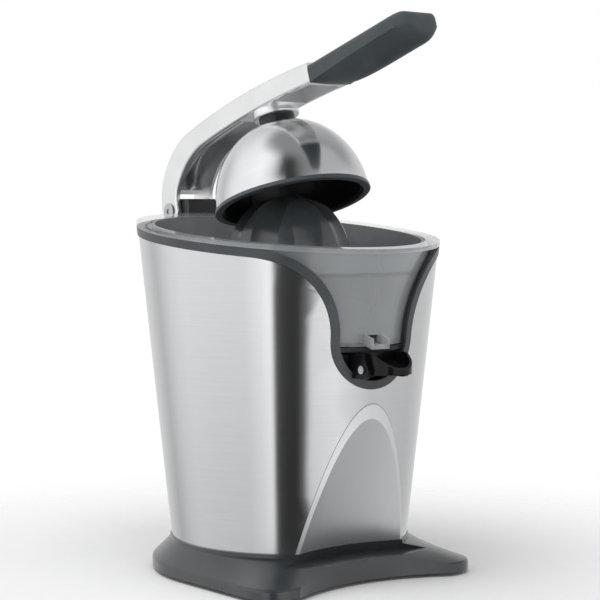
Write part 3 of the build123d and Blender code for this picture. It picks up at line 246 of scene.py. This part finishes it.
def streaks(finish, along, across, slow, quick, layer, detail=2.0, roughness=0.5):
    """Noise with slow changes along the brush lines and quick ones across them, per metre."""
    return finish.noise(finish.vector(along * slow, across * quick, layer), 1.0, detail, roughness)


def brushed(name, along, across, light, dark, gloss, stretch=0.85):
    """Metal brushed in one direction, so that its gloss smears across the lines. Lengths are in metres."""
    finish = Finish(name, metallic=1.0, anisotropic=stretch, anisotropic_rotation=0.25)
    along, across = along(finish), across(finish)
    hairs = streaks(finish, along, across, 55.0, 5200.0, 0.0, 3.0, 0.65)
    strokes = streaks(finish, along, across, 14.0, 1500.0, 3.0)
    handling = streaks(finish, along, across, 18.0, 18.0, 7.0)
    line = hairs * 0.6 + strokes * 0.4
    finish.set(base_color=finish.blend(finish.ease(line, 0.25, 0.75), dark, light))
    finish.set(roughness=gloss + (line - 0.5) * 0.06 + (handling - 0.5) * 0.05)
    finish.bump(line, 0.03, 0.0001)
    return finish


def moulded(name, colour, roughness, grain=2600.0, depth=0.05, coat=0.0, shine=0.5):
    """Moulded plastic with a fine spark-eroded grain and slight shade changes."""
    finish = Finish(name, coat_weight=coat, coat_roughness=0.25, specular_ior_level=shine)
    point = finish.point()
    pits = finish.noise(point, grain, 2.0, 0.6)
    flow = finish.noise(point, 38.0, 3.0, 0.55)
    smear = finish.noise(point, 11.0, 2.0, 0.5)
    deep = tint(*(part * 0.82 for part in colour[:3]))
    pale = tint(*(part * 1.16 + 0.002 for part in colour[:3]))
    shade = finish.ease(flow * 0.7 + pits * 0.3, 0.3, 0.7)
    finish.set(base_color=finish.blend(shade, deep, pale))
    finish.set(roughness=roughness + (pits - 0.5) * 0.14 + (smear - 0.5) * 0.10)
    finish.bump(pits, depth, 0.0002)
    return finish


def turn_about(point, finish, radius):
    """Arc length round the Z axis, with its join at the back."""
    x, y, z = finish.split(point)
    return finish.math("ARCTAN2", x, 0.0 - y) * radius


def height_of(point, finish):
    return finish.split(point)[2]


def dome_slant(point, finish):
    """Length along the dome's side from its top."""
    x, y, z = finish.split(point)
    out = finish.math("SQRT", x * x + y * y)
    return finish.math("ARCTAN2", out, z - dome_brush_z) * dome_brush_r


def finish_steel():
    brushed(
        "steel_brushed_round",
        lambda f: turn_about(f.point(), f, body_brush_r),
        lambda f: height_of(f.point(), f),
        tint(0.745, 0.75, 0.76), tint(0.69, 0.695, 0.705), 0.17,
    ).wear("steel_jacket")
    brushed(
        "steel_satin_upright",
        lambda f: height_of(f.point(), f),
        lambda f: turn_about(f.point(), f, body_brush_r),
        tint(0.90, 0.91, 0.925), tint(0.83, 0.84, 0.855), 0.36, 0.0,
    ).wear("recess_panel")
    brushed(
        "steel_spun_dome",
        lambda f: turn_about(lever_closed_point(f), f, dome_brush_r),
        lambda f: dome_slant(lever_closed_point(f), f),
        tint(0.80, 0.805, 0.82), tint(0.74, 0.75, 0.765), 0.15, 0.7,
    ).wear("press_dome")


def finish_plastic():
    charcoal = moulded("plastic_charcoal", tint(0.058, 0.066, 0.072), 0.34)
    charcoal.wear("top_trim", "dome_rim")
    base = moulded("plastic_base", tint(0.032, 0.037, 0.041), 0.24, depth=0.03, coat=0.4)
    base.wear("base_housing")
    black = moulded("plastic_black", tint(0.012, 0.013, 0.015), 0.38)
    black.wear("hinge_bracket", "bottom_plate", "start_switch", "dome_neck", "dome_liner")
    gloss = moulded("plastic_black_gloss", tint(0.004, 0.004, 0.005), 0.22, depth=0.01, shine=0.22)
    gloss.wear("spout_holder", "drip_spout")
    inner = moulded("plastic_inner", tint(0.030, 0.032, 0.035), 0.5)
    inner.wear("body_core", "gearbox_housing", "gearbox_cover")
    basket = moulded("plastic_strainer", tint(0.185, 0.197, 0.207), 0.40, depth=0.03)
    basket.wear("strainer")
    cone = moulded("plastic_cone", tint(0.070, 0.079, 0.086), 0.24, depth=0.02, coat=0.4)
    cone.wear("juicing_cone")
    nylon = moulded("nylon_natural", tint(0.78, 0.75, 0.66), 0.42)
    nylon.wear("output_gear", "idler_gear", "spring_cap", "switch_plunger", "friction_washers")


def finish_rubber():
    grip = moulded("rubber_grip", tint(0.050, 0.063, 0.069), 0.5, 3200.0, 0.12)
    grip.wear("handle_grip")
    feet = moulded("rubber_feet", tint(0.018, 0.018, 0.019), 0.7, 2200.0, 0.12)
    feet.wear("rubber_feet", "cord_inlet", "shaft_seal")


def finish_cast_aluminium():
    """Blasted and lightly polished casting, a little greyer where the skin is open."""
    finish = Finish("aluminium_satin_cast", metallic=1.0)
    point = finish.point()
    sand = finish.noise(point, 1900.0, 3.0, 0.6)
    skin = finish.noise(point, 45.0, 3.0, 0.5)
    tone = finish.ease(sand * 0.5 + skin * 0.5, 0.3, 0.7)
    finish.set(base_color=finish.blend(tone, tint(0.86, 0.865, 0.87), tint(0.95, 0.955, 0.96)))
    finish.set(roughness=0.33 + (sand - 0.5) * 0.12 + (skin - 0.5) * 0.08)
    finish.bump(sand, 0.06, 0.0002)
    finish.wear("lever_arm", "dome_collar")


def finish_clear_plastic():
    """Clear moulded plastic with faint flow marks, denser below its rim and where it is seen edge on."""
    finish = Finish("plastic_clear", specular_ior_level=1.0, coat_weight=1.0, coat_roughness=0.04)
    point = finish.point()
    flow = finish.noise(point, 26.0, 3.0, 0.55)
    haze = finish.noise(point, 420.0, 2.0, 0.5)
    edge = finish.add("LayerWeight", None, {"Blend": 0.42}, "Facing")
    finish.set(base_color=finish.blend(flow, tint(0.52, 0.55, 0.57), tint(0.66, 0.69, 0.71)))
    finish.set(roughness=0.07 + (haze - 0.5) * 0.05 + (flow - 0.5) * 0.05)
    below_rim = finish.ease(height_of(point, finish), container_rim_z, container_wall_z)
    body = 0.10 + below_rim * 0.20
    finish.set(alpha=body + edge * (0.22 + below_rim * 0.30) + (flow - 0.5) * 0.03)
    finish.bump(haze, 0.01, 0.0002)
    finish.wear("juice_container")


def finish_plated_steel():
    """Zinc-plated or ground steel of the fasteners, shafts and motor."""
    finish = Finish("steel_plated", metallic=1.0)
    point = finish.point()
    grain = finish.noise(point, 1500.0, 3.0, 0.6)
    bloom = finish.noise(point, 160.0, 2.0, 0.5)
    tone = finish.ease(bloom, 0.3, 0.7)
    finish.set(base_color=finish.blend(tone, tint(0.52, 0.53, 0.55), tint(0.68, 0.68, 0.69)))
    finish.set(roughness=0.32 + (grain - 0.5) * 0.2)
    finish.bump(grain, 0.05, 0.0002)
    finish.wear(
        "bottom_screws", "body_screws", "spout_pin", "idler_axle", "motor_pinion", "motor_rotor", "motor_can",
        "motor_screws", "gearbox_screws", "drive_shaft", "return_spring", "switch_screws", "bracket_screws",
        "hinge_pin", "dome_screw",
    )


def finish_stator():
    """Stacked laminations seen as fine level lines, with varnish between them."""
    finish = Finish("motor_laminations", metallic=0.4)
    point = finish.point()
    sheet = finish.math("PINGPONG", height_of(point, finish), lamination) / lamination
    stain = finish.noise(point, 220.0, 3.0, 0.6)
    tone = finish.ease(sheet * 0.7 + stain * 0.3, 0.2, 0.8)
    finish.set(base_color=finish.blend(tone, tint(0.16, 0.075, 0.035), tint(0.45, 0.25, 0.13)))
    finish.set(roughness=0.4 + (stain - 0.5) * 0.2)
    finish.bump(sheet, 0.3, 0.0002)
    finish.wear("motor_stator")


def finish_bronze():
    """Sintered bronze with open pores."""
    finish = Finish("bronze_sintered", metallic=1.0)
    pores = finish.noise(finish.point(), 2600.0, 3.0, 0.7)
    tone = finish.ease(pores, 0.35, 0.65)
    finish.set(base_color=finish.blend(tone, tint(0.38, 0.25, 0.12), tint(0.62, 0.44, 0.24)))
    finish.set(roughness=0.42 + (pores - 0.5) * 0.2)
    finish.bump(pores, 0.15, 0.0002)
    finish.wear("upper_bush")


def ring_mesh(name, rings, wrap):
    """Smooth piece through rings of points, which joins its last ring to its first or caps the last one."""
    shape = bmesh.new()
    rows = [[shape.verts.new(point) for point in ring] for ring in rings]
    after = rows[1:] + rows[:1] if wrap else rows[1:]
    for low, high in zip(rows, after):
        for i in range(len(low)):
            shape.faces.new((low[i - 1], low[i], high[i], high[i - 1]))
    if not wrap:
        shape.faces.new(rows[-1])
    bmesh.ops.recalc_face_normals(shape, faces=shape.faces)
    for face in shape.faces:
        face.smooth = True
    mesh = bpy.data.meshes.new(name)
    shape.to_mesh(mesh)
    shape.free()
    piece = bpy.data.objects.new(name, mesh)
    scene.collection.objects.link(piece)
    return piece


def show_for(piece, node):
    """Turns a piece that was made with the lever closed to the lever's rest, and shows it for the node."""
    pivot = Matrix.Translation(lever_pivot)
    piece.data.transform(pivot @ Matrix.Rotation(-lever_open, 4, "X") @ pivot.inverted())
    piece.data.set_sharp_from_angle(angle=sharp_edge)
    piece.data.materials.append(nodes[node].data.materials[0])
    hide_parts(node)
    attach(piece, "lever")


def dome_curve(inset):
    """Radius and height along the dome, from its edge to the hole under its neck."""
    r = dome_edge_r - inset
    h = dome_height - inset
    last = math.acos(dome_hole_r / r)
    angles = [last * i / dome_curve_steps for i in range(dome_curve_steps + 1)]
    return [(r * math.cos(a), dome_edge_z + h * math.sin(a)) for a in angles]


def make_spun_dome():
    """The dome as one spun sheet."""
    profile = dome_curve(0.0) + dome_curve(dome_wall)[::-1]
    turns = [2 * math.pi * i / dome_turn_steps for i in range(dome_turn_steps)]
    rings = [[(r * math.cos(a), r * math.sin(a), z) for a in turns] for r, z in profile]
    show_for(ring_mesh("spun_dome", rings, True), "press_dome")


def stand_back(left, r):
    """How far a round end of radius r stands back where a length is left before the end."""
    if left >= r:
        return 0.0
    return r - math.sqrt(r**2 - (r - left) ** 2)


def grip_ring(share):
    """Section of the grip: flat top, round corners, straight sides, and a belly that bows downward."""
    top = grip_top_z - grip_fall * share
    low = top - grip_side_h - grip_start_drop * (1 - share) ** 2
    belly = grip_belly - grip_belly_loss * (1 - share) ** 5
    across = [i / grip_belly_steps for i in range(-grip_belly_steps, grip_belly_steps + 1)]
    under = [(grip_half * t, low - belly * (1 - t**2)) for t in across]
    r = grip_corner_r
    turns = [math.pi / 2 * i / grip_corner_steps for i in range(grip_corner_steps + 1)]
    corner = [(grip_half - r + r * math.cos(a), top - r + r * math.sin(a)) for a in turns]
    ring = under + corner + [(-x, z) for x, z in reversed(corner)]
    left = (1 - share) * grip_length
    wide = 1 - stand_back(left, grip_end_r) / grip_half
    middle = (top + low - belly) / 2
    thin = 1 - stand_back(left, grip_end_rise) / (top - middle)
    y = grip_start_y - share * grip_length
    return [(x * wide, y, middle + (z - middle) * thin) for x, z in ring]


def make_soft_grip():
    """The grip with its soft round end, open where the arm's tang enters."""
    plain = [i / grip_plain_rings * (1 - grip_end_share) for i in range(grip_plain_rings)]
    turns = [math.pi / 2 * i / grip_end_rings for i in range(grip_end_rings + 1)]
    end = [1 - grip_end_share * math.cos(a) for a in turns]
    rings = [grip_ring(share) for share in plain + end]
    show_for(ring_mesh("soft_grip", rings, False), "handle_grip")


def make_floor():
    """A pale round floor that fades into the white backdrop."""
    mesh = bpy.data.meshes.new("studio_floor")
    shape = bmesh.new()
    bmesh.ops.create_circle(shape, cap_ends=True, segments=96, radius=floor_r)
    shape.to_mesh(mesh)
    shape.free()
    floor = bpy.data.objects.new("studio_floor", mesh)
    floor.location.z = -floor_drop
    scene.collection.objects.link(floor)
    floor.visible_glossy = False
    finish = Finish("floor_pale", roughness=0.6, specular_ior_level=0.25)
    point = finish.point()
    x, y, z = finish.split(point)
    far = finish.ease(finish.math("SQRT", x * x + y * y), floor_fade_start, floor_fade_end)
    speck = finish.noise(point, 90.0, 2.0, 0.5)
    finish.set(base_color=finish.blend(speck, grey(0.90), grey(0.93)))
    clear = finish.add("BsdfTransparent")
    mixed = finish.add("MixShader", None, {0: far, 1: Value(finish, finish.shader.outputs[0]), 2: clear})
    output = finish.node_tree.nodes["Material Output"]
    finish.feed(output.inputs["Surface"], mixed)
    mesh.materials.append(finish.material)


def make_studio():
    """White backdrop for the camera; soft panels to the left and right of it for light and gloss."""
    world = bpy.data.worlds.new("studio")
    scene.world = world
    world.use_nodes = True
    tree = Tree(world.node_tree)
    world.node_tree.nodes.clear()
    x, y, z = tree.split(tree.add("TexCoord", None, None, "Generated"))
    side = math.sin(studio_bearing)
    ahead = math.cos(studio_bearing)
    towards = x * -side - y * ahead
    right = x * ahead - y * side
    turn = tree.math("ARCTAN2", right, towards) / (2 * math.pi) + 0.5
    walls = tree.ramp(turn, wall_light)
    high = tree.ramp(turn, high_light)
    low = tree.ease(z, -0.50, -0.12)
    rise = tree.ease(z, 0.25, 0.62)
    over = tree.ease(z, 0.82, 0.97)
    glow = walls * (low_light + low * wall_gain) * (1.0 - rise) + high * rise
    glow = glow * (1.0 - over) + over * overhead_light
    light = tree.add("Background", None, {"Color": glow, "Strength": 1.0})
    white = tree.add("Background", None, {"Color": grey(1.0), "Strength": 1.0})
    ray = tree.add("LightPath", None, None, "Is Camera Ray")
    seen = tree.math("MAXIMUM", ray, ray.other("Is Transmission Ray"))
    mixed = tree.add("MixShader", None, {0: seen, 1: light, 2: white})
    output = world.node_tree.nodes.new("ShaderNodeOutputWorld")
    tree.feed(output.inputs["Surface"], mixed)


def aim(holder, place, target):
    """Puts a lamp or camera in its place, looking at its target, in the scene."""
    holder.location = place
    holder.rotation_mode = "QUATERNION"
    holder.rotation_quaternion = (target - place).to_track_quat("-Z", "Y")
    scene.collection.objects.link(holder)


def make_top_panel():
    """Soft panel overhead, which metal doesn't mirror."""
    lamp = bpy.data.lights.new("top_panel", "AREA")
    lamp.shape = "SQUARE"
    lamp.size = panel_size
    lamp.energy = panel_power
    holder = bpy.data.objects.new("top_panel", lamp)
    holder.visible_glossy = False
    aim(holder, panel_place, panel_target)


def make_camera():
    camera = bpy.data.cameras.new("camera")
    camera.lens = camera_lens
    camera.sensor_width = camera_sensor
    camera.clip_start = camera_near
    camera.clip_end = camera_far
    holder = bpy.data.objects.new("camera", camera)
    aim(holder, camera_place, camera_target)
    scene.camera = holder


def main():
    finish_steel()
    finish_cast_aluminium()
    finish_plastic()
    finish_rubber()
    finish_clear_plastic()
    finish_plated_steel()
    finish_stator()
    finish_bronze()
    make_spun_dome()
    make_soft_grip()
    make_floor()
    make_studio()
    make_top_panel()
    make_camera()
    scene.view_settings.view_transform = "Standard"


main()
